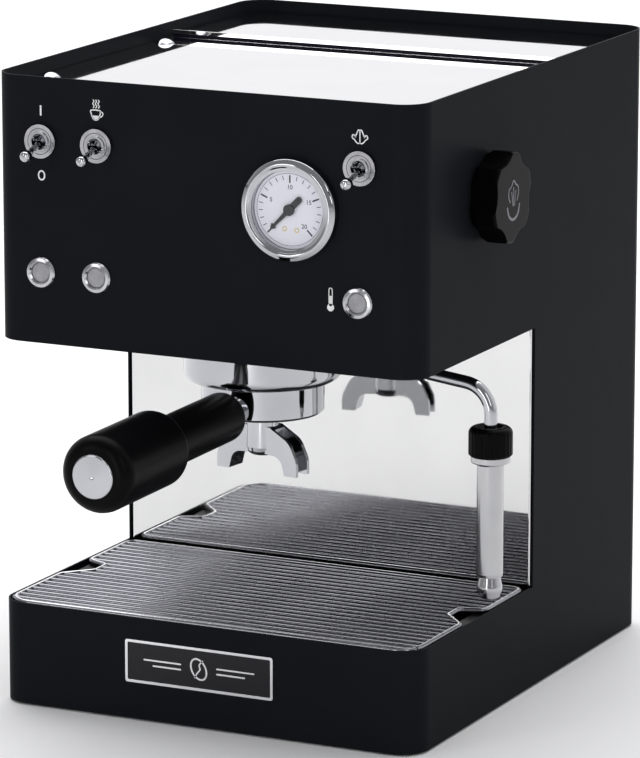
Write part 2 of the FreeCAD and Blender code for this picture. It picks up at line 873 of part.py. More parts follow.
def wand_collar():
    """The ribbed grip at the top of the sleeve."""
    body = new_body("wand_collar")
    bottom, top = 160.9, 178.4
    radius = 13.0
    profile = [
        (cell("tube_radius") + 0.02, bottom),
        (radius - 1, bottom),
        (radius, bottom + 1),
        (radius, top, 4),
        (7.4, top),
        (cell("tube_radius") + 0.02, top - 1.6),
    ]
    revolve(body, sketch_on(body, "XZ", [profile]))
    grooves = []
    for i in range(24):
        angle = math.radians(15 * i)
        grooves.append(((radius + 0.5) * math.cos(angle), (radius + 0.5) * math.sin(angle), 1.0))
    pocket(body, sketch_on(body, "XY", circles=grooves, level=(bottom + top) / 2), 40)
    return place(body, cell("wand_x"), cell("wand_y"))


def wand_sleeve():
    """The steel sleeve with a ring at its top."""
    inner = cell("tube_radius") + 0.02
    profile = [
        (inner, 150.2),
        (6.4, 150.2),
        (6.4, 88.4),
        (7.6, 88.4),
        (7.9, 90),
        (7.9, 156.2, 1),
        (11.6, 157.0, 0.8),
        (11.6, 160.7),
        (inner, 160.7),
    ]
    return turned("wand_sleeve", profile, x=cell("wand_x"), y=cell("wand_y"))


def wand_tip():
    """The flared nozzle at the bottom of the sleeve."""
    low = cell("wand_tip")
    profile = [
        (2, low),
        (5.8, low, 1.4),
        (7.9, low + 5.5, 7),
        (6.3, low + 13, 8),
        (6.3, low + 24),
        (2, low + 24),
    ]
    return turned("wand_tip", profile, x=cell("wand_x"), y=cell("wand_y"))


# ---------------------------------------------------------------- the group and the portafilter

LUG_HALF_ANGLE = 20.0
SLOT_HALF_ANGLE = 24.0
UNLOCK_ANGLE = -50.0
SPOUT_TURN = -8.0


def wedge(label, middle_angle, half_angle, radius, bottom, height):
    """A slice of a cylinder about the group's axis."""
    piece = cylinder(label, 0, group_y, bottom, radius, height)
    piece.Angle = 2 * half_angle
    return place(piece, 0, group_y, bottom, Rotation(Vector(0, 0, 1), middle_angle - half_angle))


def group_bell():
    """The group casting, with a groove and two entry slots for the portafilter's lugs."""
    radius = cell("bell_radius")
    bottom = cell("bell_bottom")
    profile = [
        (37.2, bottom),
        (radius, bottom, 6),
        (radius, 238),
        (4, 238),
        (4, bottom + 17),
        (37, bottom + 17),
        (37, bottom + 11),
        (42, bottom + 11),
        (42, bottom + 3),
        (37.2, bottom + 3),
    ]
    body = doc.addObject("PartDesign::Body", "bell_casting")
    revolve(body, sketch_on(body, "XZ", [profile]))
    place(body, y=group_y)
    slots = [
        wedge(f"bell_slot_{i}", UNLOCK_ANGLE + 180 * i, SLOT_HALF_ANGLE, 42, bottom - 1, 5)
        for i in range(2)
    ]
    return keep(cut("bell_cut", body, fuse("bell_slots", slots)), "group_bell")


def group_gasket():
    """The rubber ring that the basket's rim seals against."""
    low = cell("bell_bottom") + 9.2
    profile = [(29.6, low), (36.8, low), (36.8, low + 7.6), (29.6, low + 7.6)]
    return turned("group_gasket", profile, y=group_y)


def shower_screen():
    """The dispersion screen, a shallow cup held by one screw."""
    low = cell("bell_bottom") + 9
    body = new_body("shower_screen")
    profile = [
        (0, low - 1.6),
        (3.2, low - 1.6, 0.8),
        (3.2, low),
        (29.2, low, 1),
        (29.2, low + 7.8),
        (28.2, low + 7.8),
        (28.2, low + 1),
        (3, low + 1),
        (3, low + 9),
        (0, low + 9),
    ]
    revolve(body, sketch_on(body, "XZ", [profile]))
    return place(body, y=group_y)


def portafilter_ring():
    """The portafilter's casting: the bowl, two locking lugs and the stub for the handle."""
    radius = cell("ring_radius")
    low = cell("ring_bottom")
    top = cell("bell_bottom") + 7.6
    profile = [
        (4, low),
        (radius - 1.5, low),
        (radius, low + 1.5),
        (radius, top),
        (30.8, top),
        (30.8, low + 3.5),
        (4, low + 3.5),
    ]
    bowl = doc.addObject("PartDesign::Body", "portafilter_bowl")
    revolve(bowl, sketch_on(bowl, "XZ", [profile]))
    place(bowl, y=group_y)
    hollow = cylinder("lug_hollow", 0, group_y, top - 5, radius - 2, 6)
    lugs = []
    for i in range(2):
        slice_ = wedge(f"lug_slice_{i}", 180 * i, LUG_HALF_ANGLE, 41.4, top - 4, 3.8)
        lugs.append(cut(f"lug_{i}", slice_, hollow))
    droop = Rotation(Vector(1, 0, 0), 90 + cell("handle_droop").value)
    heading = droop.multVec(Vector(0, 0, 1))
    height = cell("handle_height")
    start = 34
    stub = cylinder(
        "handle_stub", 0, group_y + start * heading.y, height + start * heading.z, 8.4, 13.6, droop
    )
    return keep(fuse("portafilter_joined", [bowl, stub] + lugs), "portafilter_ring")


def filter_basket():
    """The steel coffee basket, hanging by its rim in the portafilter."""
    top = cell("bell_bottom") + 8.7
    low = cell("ring_bottom") + 5.5
    profile = [
        (0, low),
        (28, low, 3),
        (30, low + 8),
        (30, top - 0.9),
        (34.8, top - 0.9),
        (34.8, top),
        (29.2, top),
        (29.2, low + 8.2),
        (27.4, low + 0.8, 2.4),
        (0, low + 0.8),
    ]
    return turned("filter_basket", profile, y=group_y)


def double_spout():
    """The double spout: a hub with two curved open channels to the left and the right."""
    body = new_body("double_spout")
    low = cell("spout_bottom")
    reach = cell("spout_reach")
    hub_top = cell("ring_bottom") - 0.1
    arms = []
    channels = []
    for side in SIDES:
        arms.append(
            [
                (side * 6.0, low + 28),
                (side * 9.0, low + 28),
                (side * (reach - 5.5), low + 20.3, 12),
                (side * reach, low + 9, 14),
                (side * reach, low),
                (side * (reach - 8.6), low),
                (side * (reach - 11.5), low + 11, 7),
                (side * 6.0, low + 11.5),
            ]
        )
        channels.append(
            [
                (side * 11.8, low + 34),
                (side * (reach + 12), low + 34),
                (side * (reach + 12), low - 4),
                (side * (reach - 6.2), low - 4),
                (side * (reach - 8.6), low + 12, 8),
                (side * 11.8, low + 19, 4),
            ]
        )
    hub = [
        (0, low + 8.6),
        (8.8, low + 10.6, 4),
        (10, low + 15),
        (9.4, hub_top - 5),
        (11.5, hub_top - 5),
        (11.5, hub_top),
        (0, hub_top),
    ]
    pad(body, sketch_on(body, "XZ", arms[:1]), 14, symmetric=True)
    revolve(body, sketch_on(body, "XZ", [hub]))
    pad(body, sketch_on(body, "XZ", arms[1:]), 14, symmetric=True)
    for channel in channels:
        pocket(body, sketch_on(body, "XZ", [channel]), 9.4)
    return place(body, y=group_y, turn=Rotation(Vector(0, 0, 1), SPOUT_TURN))


def on_handle(label, profile):
    """A turned piece on the portafilter's handle, along the handle from the group's axis."""
    droop = Rotation(Vector(1, 0, 0), 90 + cell("handle_droop").value)
    return turned(label, profile, y=group_y, z=cell("handle_height"), turn=droop)


def handle_stud():
    """The threaded stud that holds the grip to the casting."""
    return on_handle("handle_stud", [(0, 47.8), (4, 47.8), (4, 190), (0, 190)])


def handle_grip():
    """The grip: a slim neck that steps up to a thick rounded end."""
    end = cell("handle_end")
    profile = [
        (4.05, 48),
        (14.9, 48, 6),
        (14.9, 132, 3),
        (22.5, 138.5, 3),
        (22.5, end, 9),
        (13, end),
        (13, end - 3),
        (4.05, end - 3),
    ]
    return on_handle("handle_grip", profile)


def handle_cap():
    """The polished disc in the end of the grip."""
    end = cell("handle_end")
    profile = [(0, end - 2.9), (12.8, end - 2.9), (12.8, end + 0.6, 1), (0, end + 1.4)]
    return on_handle("handle_cap", profile)


# ---------------------------------------------------------------- the front panel

def turned_front(label, profile, x, height):
    """A turned piece on the front panel; along is measured out of the panel."""
    return turned(label, profile, x=x, y=front, z=height, turn=FORWARD)


def switch_body(name, x):
    """The switch: a block behind the panel and a threaded bushing through it."""
    body = new_body(f"{name}_switch")
    block = rectangle(-6.5, -14, 6.5, 14, 0.8)
    pad(body, sketch_on(body, "XY", [block], level=-24), 20)
    bush = sketch_on(body, "XY", circles=[(0, 0, BUSHING_RADIUS)], level=-4.5)
    pad(body, bush, 8.5)
    pocket(body, sketch_on(body, "XY", circles=[(0, 0, 4.7)], level=-0.5), 10)
    return place(body, x, front, cell("switch_height"), FORWARD)


def switch_lever(name, x):
    """The bat lever with a ball end and its pivot pin, resting in its lower position."""
    down = Rotation(Vector(1, 0, 0), 90 + 17)
    profile = [
        (0, -3.4),
        (3.4, -3.4),
        (3.4, 0.6),
        (1.7, 3.6),
        (1.9, 16.5),
        (3.35, 19.2, 2.2),
        (3.35, 23.4, 2.2),
        (0, 24.6),
    ]
    pivot_y = front + 1.2
    bat = doc.addObject("PartDesign::Body", f"{name}_bat")
    revolve(bat, sketch_on(bat, "XZ", [profile]))
    place(bat, x, pivot_y, cell("switch_height"), down)
    pin = cylinder(f"{name}_pin", x - 4.4, pivot_y, cell("switch_height"), 0.9, 8.8, RIGHTWARD)
    return keep(fuse(f"{name}_lever_joined", [bat, pin]), f"{name}_lever")


def switch_nuts():
    """The three knurled ring nuts of the switches."""
    pieces = []
    for i, (_, x) in enumerate(SWITCHES):
        ring = cylinder(f"nut_ring_{i}", x, front, cell("switch_height"), NUT_RADIUS, 3, FORWARD)
        hole = cylinder(f"nut_hole_{i}", x, front, cell("switch_height"), BUSHING_RADIUS, 4, FORWARD)
        pieces.append(cut(f"nut_{i}", ring, hole))
    return group_of("switch_nuts", pieces)


def light_bezel(name, x):
    """A pilot light's bezel and body in one."""
    profile = [
        (5.9, -22),
        (LIGHT_BODY_RADIUS, -22),
        (LIGHT_BODY_RADIUS, 0),
        (9.35, 0),
        (9.35, 0.9),
        (8.6, 2),
        (6.9, 2.4),
        (5.9, 1.4),
    ]
    return turned_front(f"{name}_light", profile, x, cell("light_height"))


def light_lenses():
    """The three frosted lenses of the pilot lights."""
    pieces = []
    for name, x in LIGHTS:
        body = doc.addObject("PartDesign::Body", f"{name}_lens")
        profile = [(0, -16), (5.8, -16), (5.8, 1.0, 0.6), (0, 2.2)]
        revolve(body, sketch_on(body, "XZ", [profile]))
        pieces.append(place(body, x, front, cell("light_height"), FORWARD))
    return group_of("light_lenses", pieces)


def gauge_case():
    """The gauge's case, with its polished front ring."""
    radius = cell("gauge_radius")
    profile = [
        (0, -26),
        (GAUGE_CASE_RADIUS, -26, 2),
        (GAUGE_CASE_RADIUS, 0),
        (radius, 0),
        (radius, 5.4, 2.4),
        (radius - 3.6, 7.6, 2),
        (radius - 5.4, 6.6),
        (radius - 7.2, 6.4),
        (radius - 7.2, 1.6),
        (radius - 9, 1.6),
        (radius - 9, -23),
        (0, -23),
    ]
    return turned_front("gauge_case", profile, cell("gauge_x"), cell("gauge_height"))


def gauge_dial():
    """The white dial."""
    radius = cell("gauge_radius") - 7.4
    profile = [(0, 1.7), (radius, 1.7), (radius, 2.3), (0, 2.3)]
    return turned_front("gauge_dial", profile, cell("gauge_x"), cell("gauge_height"))


def gauge_glass():
    """The gauge's flat glass."""
    radius = cell("gauge_radius") - 7.3
    profile = [(0, 4.9), (radius, 4.9), (radius, 6.2), (0, 6.2)]
    return turned_front("gauge_glass", profile, cell("gauge_x"), cell("gauge_height"))


def gauge_needle():
    """The needle at zero, pointing down and to the left, with its round tail and hub."""
    body = new_body("gauge_needle")
    length = 17.0
    pointer = [(0, -1.5), (length - 4, -0.8), (length - 3, -1.9), (length, 0)]
    pointer += [(along, -across) for along, across in pointer[-2::-1]]
    pad(body, sketch_on(body, "XY", [pointer], level=3.2), 0.5)
    tail = rectangle(-10.6, -1.9, 0, 1.9, 1.8)
    pad(body, sketch_on(body, "XY", [tail], level=3.2), 0.5)
    pad(body, sketch_on(body, "XY", circles=[(0, 0, 3.3)], level=3.0), 1.4)
    zero = FORWARD.multiply(Rotation(Vector(0, 0, 1), 225))
    return place(body, cell("gauge_x"), front, cell("gauge_height"), zero)


def gauge_tube():
    """The thin copper tube from the gauge to the group."""
    x, z = cell("gauge_x"), cell("gauge_height")
    back = front + 26.2
    corners = [(x, back, z), (x, back + 16, z), (58, -112, 270), (54, -92, 232), (47.6, -90, 230)]
    return keep(rod("gauge_rod", corners, 1.5, 4), "gauge_tube")


# ---------------------------------------------------------------- the base

NOTCH_FRONT = -99.0
NOTCH_BACK = -62.0
NOTCH_DEPTH = 15.0
NOTCH_FRONT_SLOPE = 16.0
NOTCH_BACK_SLOPE = 6.0
FRONT_BEND = 14.0


def grille():
    """The welded wire grille: a bent frame with finger notches, cross bars and three runners."""
    half = cell("grille_half")
    radius = cell("wire_radius")
    level = cell("tray_rim") + 1.6 + radius
    near, far = front + 3.9, -9.5
    inset = half - NOTCH_DEPTH
    corners = [
        (half, near, level, FRONT_BEND),
        (half, NOTCH_FRONT, level),
        (inset, NOTCH_FRONT + NOTCH_FRONT_SLOPE, level),
        (inset, NOTCH_BACK - NOTCH_BACK_SLOPE, level),
        (half, NOTCH_BACK, level),
        (half, far, level),
        (-half, far, level),
        (-half, NOTCH_BACK, level),
        (-inset, NOTCH_BACK - NOTCH_BACK_SLOPE, level),
        (-inset, NOTCH_FRONT + NOTCH_FRONT_SLOPE, level),
        (-half, NOTCH_FRONT, level),
        (-half, near, level, FRONT_BEND),
        (half, near, level, FRONT_BEND),
    ]
    pieces = [rod("grille_frame", corners, radius, 5.5)]
    bar = cell("bar_radius")
    for i in range(20):
        y = -157.5 + i * cell("bar_pitch")
        into_notch = min(
            (y.value - NOTCH_FRONT) / NOTCH_FRONT_SLOPE, (NOTCH_BACK - y.value) / NOTCH_BACK_SLOPE
        )
        reach = half - NOTCH_DEPTH * min(max(into_notch, 0), 1)
        pieces.append(cylinder(f"grille_bar_{i}", -reach, y, level, bar, 2 * reach, RIGHTWARD))
    backward = Rotation(Vector(1, 0, 0), -90)
    runner_level = level - 1.8 * bar
    runner_start = near + 8.4
    for i, x in enumerate((-70, 0, 70)):
        runner = cylinder(f"grille_runner_{i}", x, runner_start, runner_level, bar, 139, backward)
        pieces.append(runner)
    return keep(fuse("grille_welded", pieces), "grille")


def drip_tray():
    """The black tray under the grille, hanging by its rim on the ledge of the body."""
    body = new_body("drip_tray")
    rim = cell("tray_rim")
    bottom = 18.0
    back = -13.0
    outline = rectangle(-127.6, front + 8.9, 127.6, back, 11)
    pad(body, sketch_on(body, "XY", [outline], level=bottom), rim - bottom + 0.2)
    flange = rectangle(-133, inner_front + 1.4, 133, -5.0, 13)
    pad(body, sketch_on(body, "XY", [flange], level=rim), 1.4)
    hollow = rectangle(-126, front + 10.5, 126, back - 1.6, 9.6)
    depth = rim + 4 - bottom - 1.6
    pocket(body, sketch_on(body, "XY", [hollow], level=bottom + 1.6 + depth / 2), depth)
    return body


# ---------------------------------------------------------------- the power inlet

def power_inlet():
    """The recessed power inlet in the back of the body."""
    body = new_body("power_inlet")
    flange = rectangle(-91, 20, -53, 54, 4)
    pad(body, sketch_on(body, "XZ", [flange], level=-(half_depth + 2.4)), 2.4)
    block = rectangle(-85.6, 25.2, -58.4, 48.8, 2)
    pad(body, sketch_on(body, "XZ", [block], level=-half_depth), 24)
    hollow = rectangle(-84, 26.8, -60, 47.2, 3)
    pocket(body, sketch_on(body, "XZ", [hollow], level=-(half_depth + 2.4)), 38)
    return body


def inlet_pins():
    """The three flat blades in the inlet."""
    pieces = []
    for i, (x, z) in enumerate(((-79, 35), (-72, 39), (-65, 35))):
        pieces.append(box(f"inlet_pin_{i}", x - 1, half_depth - 30, z - 2, 2, 29, 4))
    return group_of("inlet_pins", pieces)


# ---------------------------------------------------------------- build, check and write

for make in (
    body_shell, base_plate, feet, foot_screws, head_floor, splash_panel, badge_plate,
    warming_plate, plate_screws, tank_lid,
    water_tank, tank_shelf, tank_valve, pump, pump_mounts, suction_hose, pressure_pipe,
    boiler_body, boiler_lid, boiler_bolts, thermostats, brew_solenoid,
    steam_valve, steam_pipe, steam_spindle, steam_knob,
    wand_joint, wand_tube, wand_collar, wand_sleeve, wand_tip,
    group_bell, group_gasket, shower_screen,
    portafilter_ring, filter_basket, double_spout, handle_stud, handle_grip, handle_cap,
    switch_nuts, light_lenses, gauge_case, gauge_dial, gauge_glass, gauge_needle, gauge_tube,
    grille, drip_tray, power_inlet, inlet_pins,
):
    make()
for name, x in SWITCHES:
    switch_body(name, x)
    switch_lever(name, x)
for name, x in LIGHTS:
    light_bezel(name, x)

doc.recompute()

problems = [item.Label for item in doc.Objects if {"Invalid", "Error"} & set(item.State)]
for piece in sub_parts:
    if piece.Shape.isNull() or not piece.Shape.isValid() or piece.Shape.Volume <= 0:
        problems.append(piece.Label)
if problems:
    raise RuntimeError(f"these objects failed: {sorted(set(problems))}")

os.makedirs("parts", exist_ok=True)
for piece in sub_parts:
    piece.Shape.exportStep(f"parts/{piece.Label}.step")
    box_of = piece.Shape.BoundBox
    print(f"{piece.Label}: {len(piece.Shape.Solids)} solids, {piece.Shape.Volume / 1000:.2f} cm3, "
          f"x {box_of.XMin:.1f}..{box_of.XMax:.1f}, y {box_of.YMin:.1f}..{box_of.YMax:.1f}, "
          f"z {box_of.ZMin:.1f}..{box_of.ZMax:.1f}")
print(len(sub_parts), "sub-parts")
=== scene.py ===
"""Looks of the espresso machine: studio, camera, finishes, and the printed and fine details on the frame."""

import math

import bmesh
import bpy
from mathutils import Matrix, Vector


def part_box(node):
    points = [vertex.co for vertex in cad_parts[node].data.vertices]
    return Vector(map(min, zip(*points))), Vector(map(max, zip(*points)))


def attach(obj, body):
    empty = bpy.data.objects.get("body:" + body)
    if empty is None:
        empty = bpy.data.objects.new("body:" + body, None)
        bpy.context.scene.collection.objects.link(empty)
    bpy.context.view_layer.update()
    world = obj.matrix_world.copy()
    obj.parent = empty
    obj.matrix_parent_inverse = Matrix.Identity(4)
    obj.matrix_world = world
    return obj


MM = 0.001
RIGHT = Vector((1, 0, 0))
BACK = Vector((0, 1, 0))
UP = Vector((0, 0, 1))

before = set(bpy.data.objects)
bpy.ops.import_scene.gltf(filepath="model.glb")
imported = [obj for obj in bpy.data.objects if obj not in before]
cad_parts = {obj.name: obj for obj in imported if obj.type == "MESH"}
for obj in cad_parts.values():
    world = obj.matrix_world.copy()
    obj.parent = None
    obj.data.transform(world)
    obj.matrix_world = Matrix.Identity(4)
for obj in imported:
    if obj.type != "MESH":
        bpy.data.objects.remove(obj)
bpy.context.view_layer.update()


# Camera: a long lens from the front right, a little above the machine.

CAMERA_PLACE = Vector((1.30203, -2.68773, 0.84177))
CAMERA_TARGET = Vector((-0.00619, 0.0, 0.17644))
LENS = 238.8
SENSOR_WIDTH = 36.0


def make_camera():
    data = bpy.data.cameras.new("camera")
    data.lens = LENS
    data.sensor_width = SENSOR_WIDTH
    data.dof.use_dof = False
    data.clip_start = 0.1
    data.clip_end = 60.0
    camera = bpy.data.objects.new("camera", data)
    camera.location = CAMERA_PLACE
    camera.rotation_euler = (CAMERA_TARGET - CAMERA_PLACE).to_track_quat("-Z", "Y").to_euler()
    bpy.context.scene.collection.objects.link(camera)
    bpy.context.scene.camera = camera


# Shader helpers.


def add(tree, kind, settings=None, sockets=None):
    """One shader node, with its settings, and its sockets given as numbers or as another node's output."""
    made = tree.nodes.new(kind)
    for key, value in (settings or {}).items():
        setattr(made, key, value)
    for key, value in (sockets or {}).items():
        if isinstance(value, bpy.types.NodeSocket):
            tree.links.new(value, made.inputs[key])
        else:
            made.inputs[key].default_value = value
    return made


def spread(tree, value, low, high):
    """Maps a noise, which keeps near a half, onto low to high."""
    mapped = add(
        tree,
        "ShaderNodeMapRange",
        sockets={"Value": value, "From Min": 0.3, "From Max": 0.7, "To Min": low, "To Max": high},
    )
    return mapped.outputs["Result"]


# The mix node keeps sockets for every kind of value, and these are its colour ones.
MIX_COLOUR_A = 6
MIX_COLOUR_B = 7
MIX_COLOUR_RESULT = 2


def blend_colours(tree, factor, first, second):
    """Goes from the first colour at 0 to the second at 1; each is a colour or another node's output."""
    mix = add(tree, "ShaderNodeMix", {"data_type": "RGBA"}, {"Factor": factor})
    for index, colour in ((MIX_COLOUR_A, first), (MIX_COLOUR_B, second)):
        if isinstance(colour, bpy.types.NodeSocket):
            tree.links.new(colour, mix.inputs[index])
        else:
            mix.inputs[index].default_value = (*colour, 1.0)
    return mix.outputs[MIX_COLOUR_RESULT]


def noise(tree, where, scale, detail=3.0, stretch=(1, 1, 1)):
    mapped = add(tree, "ShaderNodeMapping", sockets={"Vector": where, "Scale": stretch})
    made = add(
        tree,
        "ShaderNodeTexNoise",
        sockets={"Vector": mapped.outputs["Vector"], "Scale": scale, "Detail": detail},
    )
    return made.outputs["Fac"]


# How much finer the marks in a finish's gloss are than the patches of its colour.
MARKS_PER_PATCH = 2.3


def material(
    name,
    light,
    dark,
    rough,
    metallic=0.0,
    grain=900.0,
    depth=0.01,
    stretch=(1, 1, 1),
    patch=22.0,
    specular=0.5,
    edge=0.0,
    **extra,
):
    """A finish whose colour drifts between light and dark, and whose roughness between the two in rough.

    grain, depth and stretch are the scale, the height in mm and the direction of a fine bump; patch is the
    scale of the drift; edge is the radius in mm to which sharp edges look broken. Extra values are sockets
    of the shader, with _ for each space in the name.
    """
    made = bpy.data.materials.new(name)
    made.use_nodes = True
    tree = made.node_tree
    shader = tree.nodes["Principled BSDF"]
    where = add(tree, "ShaderNodeTexCoord").outputs["Object"]
    drift = noise(tree, where, patch, 4.0)
    fine = noise(tree, where, grain, 2.0, stretch)
    tint = blend_colours(tree, spread(tree, drift, 0, 1), light, dark)
    tree.links.new(tint, shader.inputs["Base Color"])
    marks = noise(tree, where, patch * MARKS_PER_PATCH, 5.0, stretch)
    tree.links.new(spread(tree, marks, *rough), shader.inputs["Roughness"])
    bump = add(
        tree,
        "ShaderNodeBump",
        sockets={"Height": fine, "Distance": depth * MM, "Strength": 1.0},
    )
    if edge:
        broken = add(tree, "ShaderNodeBevel", {"samples": 4}, {"Radius": edge * MM})
        tree.links.new(broken.outputs["Normal"], bump.inputs["Normal"])
    tree.links.new(bump.outputs["Normal"], shader.inputs["Normal"])
    shader.inputs["Metallic"].default_value = metallic
    shader.inputs["Specular IOR Level"].default_value = specular
    for socket, value in extra.items():
        shader.inputs[socket.replace("_", " ")].default_value = value
    return made


SPANGLE_SCALE = 160.0


def galvanised_sheet():
    """Zinc-coated sheet: spangles, each its own grey and gloss."""
    made = material(
        "galvanised_zinc", (0.5, 0.52, 0.54), (0.4, 0.42, 0.44), (0.3, 0.45),
        metallic=1.0,
    )
    tree = made.node_tree
    shader = tree.nodes["Principled BSDF"]
    where = add(tree, "ShaderNodeTexCoord").outputs["Object"]
    cells = add(tree, "ShaderNodeTexVoronoi", sockets={"Vector": where, "Scale": SPANGLE_SCALE})
    grey = add(tree, "ShaderNodeRGBToBW", sockets={"Color": cells.outputs["Color"]}).outputs["Val"]
    tint = blend_colours(tree, grey, (0.36, 0.38, 0.4), (0.58, 0.6, 0.62))
    tree.links.new(tint, shader.inputs["Base Color"])
    tree.links.new(spread(tree, grey, 0.28, 0.46), shader.inputs["Roughness"])
    return made


# How far below the grille's top the painted highlight on its frame starts, and where it is at full strength,
# in mm.
FRAME_HIGHLIGHT_FROM = 0.16
FRAME_HIGHLIGHT_TO = 0.1
FRAME_PAINTED_HIGHLIGHT = (0.8, 0.8, 0.82)


def plated_wire():
    """Plated wire, with a painted highlight along the top of the frame that stands above the bars."""
    made = material(
        "wire_plate_painted_highlight", (0.27, 0.27, 0.295), (0.22, 0.22, 0.245), (0.22, 0.3),
        metallic=1.0, grain=400, depth=0.0002,
    )
    tree = made.node_tree
    shader = tree.nodes["Principled BSDF"]
    plain = shader.inputs["Base Color"].links[0].from_socket
    where = add(tree, "ShaderNodeTexCoord").outputs["Object"]
    height = add(tree, "ShaderNodeSeparateXYZ", sockets={"Vector": where}).outputs["Z"]
    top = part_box("grille")[1].z
    painted_highlight_weight = add(
        tree,
        "ShaderNodeMapRange",
        sockets={
            "Value": height,
            "From Min": top - FRAME_HIGHLIGHT_FROM * MM,
            "From Max": top - FRAME_HIGHLIGHT_TO * MM,
        },
    )
    # Painted highlight: the base colour turns lighter towards the top of the frame wire.
    tint = blend_colours(tree, painted_highlight_weight.outputs["Result"], plain, FRAME_PAINTED_HIGHLIGHT)
    tree.links.new(tint, shader.inputs["Base Color"])
    return made


FINISHES = {
    "body_black": material(
        "powder_black", (0.0104, 0.0112, 0.0135), (0.0092, 0.01, 0.012), (0.36, 0.39),
        grain=1400, depth=0.002, specular=0.012, edge=0.5,
    ),
    "tray_black": material(
        "tray_black_paint", (0.004, 0.004, 0.0045), (0.003, 0.003, 0.0034), (0.4, 0.5),
        grain=1200, depth=0.006, specular=0.2, edge=0.4,
    ),
    "polished_steel": material(
        "mirror_steel", (0.86, 0.855, 0.86), (0.83, 0.825, 0.83), (0.02, 0.05),
        metallic=1.0, grain=60, depth=0.0003, edge=0.3,
    ),
    "brushed_steel": material(
        "satin_steel", (0.5, 0.5, 0.51), (0.42, 0.42, 0.43), (0.16, 0.26),
        metallic=1.0, grain=2600, depth=0.002, stretch=(1, 1, 0.04), edge=0.25,
    ),
    "galvanised": galvanised_sheet(),
    "chrome": material(
        "chrome_plate", (0.5, 0.505, 0.525), (0.45, 0.455, 0.48), (0.04, 0.1),
        metallic=1.0, grain=120, depth=0.0003, edge=0.25,
    ),
    "grip_black": material(
        "moulded_black", (0.0022, 0.0022, 0.0026), (0.0016, 0.0016, 0.002), (0.3, 0.36),
        grain=2200, depth=0.002, specular=0.05, edge=0.3,
    ),
    "rubber": material(
        "black_rubber", (0.012, 0.012, 0.012), (0.007, 0.007, 0.008), (0.7, 0.85),
        grain=1800, depth=0.02, specular=0.3,
    ),
    "brass": material(
        "turned_brass", (0.72, 0.5, 0.2), (0.6, 0.4, 0.15), (0.2, 0.34),
        metallic=1.0, grain=1500, depth=0.002,
    ),
    "copper": material(
        "drawn_copper", (0.82, 0.4, 0.24), (0.66, 0.3, 0.18), (0.2, 0.36),
        metallic=1.0, grain=1200, depth=0.002,
    ),
    "tank_clear": material(
        "tank_plastic", (0.84, 0.88, 0.92), (0.78, 0.83, 0.88), (0.1, 0.2),
        grain=600, depth=0.004, Alpha=0.3,
    ),
    "silicone": material(
        "milky_silicone", (0.8, 0.8, 0.78), (0.72, 0.72, 0.7), (0.4, 0.55),
        grain=1500, depth=0.004, Transmission_Weight=0.3,
    ),
    "white_plastic": material(
        "white_plastic", (0.82, 0.82, 0.8), (0.76, 0.76, 0.74), (0.35, 0.5),
        grain=1600, depth=0.004,
    ),
    "lens_grey": material(
        "frosted_lens", (0.36, 0.36, 0.38), (0.28, 0.28, 0.3), (0.25, 0.4),
        grain=1100, depth=0.02, patch=240,
    ),
    "dial_white": material(
        "dial_enamel", (0.9, 0.9, 0.97), (0.86, 0.86, 0.94), (0.4, 0.5),
        grain=2000, depth=0.002,
    ),
    "needle_black": material(
        "needle_enamel", (0.016, 0.016, 0.02), (0.01, 0.01, 0.014), (0.35, 0.5),
        grain=2000, depth=0.002,
    ),
    "clear_glass": material(
        "gauge_window", (0.4, 0.4, 0.42), (0.36, 0.37, 0.4), (0.01, 0.03),
        grain=200, depth=0.0001, Alpha=0.04,
    ),
    "badge_silver": material(
        "badge_metal", (0.8, 0.8, 0.82), (0.7, 0.7, 0.72), (0.15, 0.25),
        metallic=1.0, grain=1800, depth=0.002, stretch=(0.05, 1, 1), edge=0.2,
    ),
    "pump_grey": material(
        "pump_paint", (0.22, 0.23, 0.25), (0.16, 0.17, 0.19), (0.4, 0.55),
        grain=1100, depth=0.01,
    ),
}

SATIN_NICKEL = material(
    "satin_nickel", (0.56, 0.56, 0.58), (0.42, 0.42, 0.44), (0.14, 0.24),
    metallic=1.0, grain=1600, depth=0.003, patch=160, edge=0.3,
)
# Pieces whose finish differs from the rest of their kind.
NODE_FINISHES = {
    "grille": plated_wire(),
    "splash_panel": material(
        "splash_steel", (0.73, 0.73, 0.725), (0.69, 0.69, 0.685), (0.02, 0.05),
        metallic=1.0, grain=40, depth=0.0003, edge=0.3,
    ),
    "steam_knob": material(
        "knob_black", (0.0022, 0.0022, 0.0026), (0.0016, 0.0016, 0.002), (0.16, 0.22),
        grain=1800, depth=0.001, specular=0.035, edge=0.8,
    ),
    "switch_nuts": SATIN_NICKEL,
    "power_light": SATIN_NICKEL,
    "brew_light": SATIN_NICKEL,
    "heat_light": SATIN_NICKEL,
}

# Finishes of the printed and fine details.


def ink(name, light, dark, depth):
    """A matt print, whose edges and cover vary a little."""
    return material(name, light, dark, (0.5, 0.65), grain=3000, depth=depth, patch=300)


INK_WHITE = ink("printed_white", (0.86, 0.86, 0.86), (0.74, 0.74, 0.75), 0.004)
INK_GREY = ink("printed_grey", (0.2, 0.2, 0.22), (0.14, 0.14, 0.16), 0.004)
DIAL_INK = ink("dial_ink", (0.03, 0.03, 0.045), (0.02, 0.02, 0.03), 0.002)
DIAL_GREY = ink("dial_grey_ink", (0.12, 0.12, 0.17), (0.09, 0.09, 0.13), 0.002)
DIAL_YELLOW = ink("dial_yellow_ink", (0.72, 0.6, 0.22), (0.62, 0.5, 0.18), 0.002)
# Painted shade in the turned grooves of the switch nuts.
GROOVE_SHADE = material(
    "groove_shade", (0.06, 0.06, 0.065), (0.03, 0.03, 0.035), (0.4, 0.6),
    grain=2000, depth=0.003, patch=300,
)
# Painted dark reflection laid on the front of the lid's lip.
PAINTED_LIP_REFLECTION = material(
    "painted_lid_reflection", (0.006, 0.004, 0.014), (0.004, 0.003, 0.01), (0.4, 0.5),
    grain=1500, depth=0.003, specular=0.1,
)
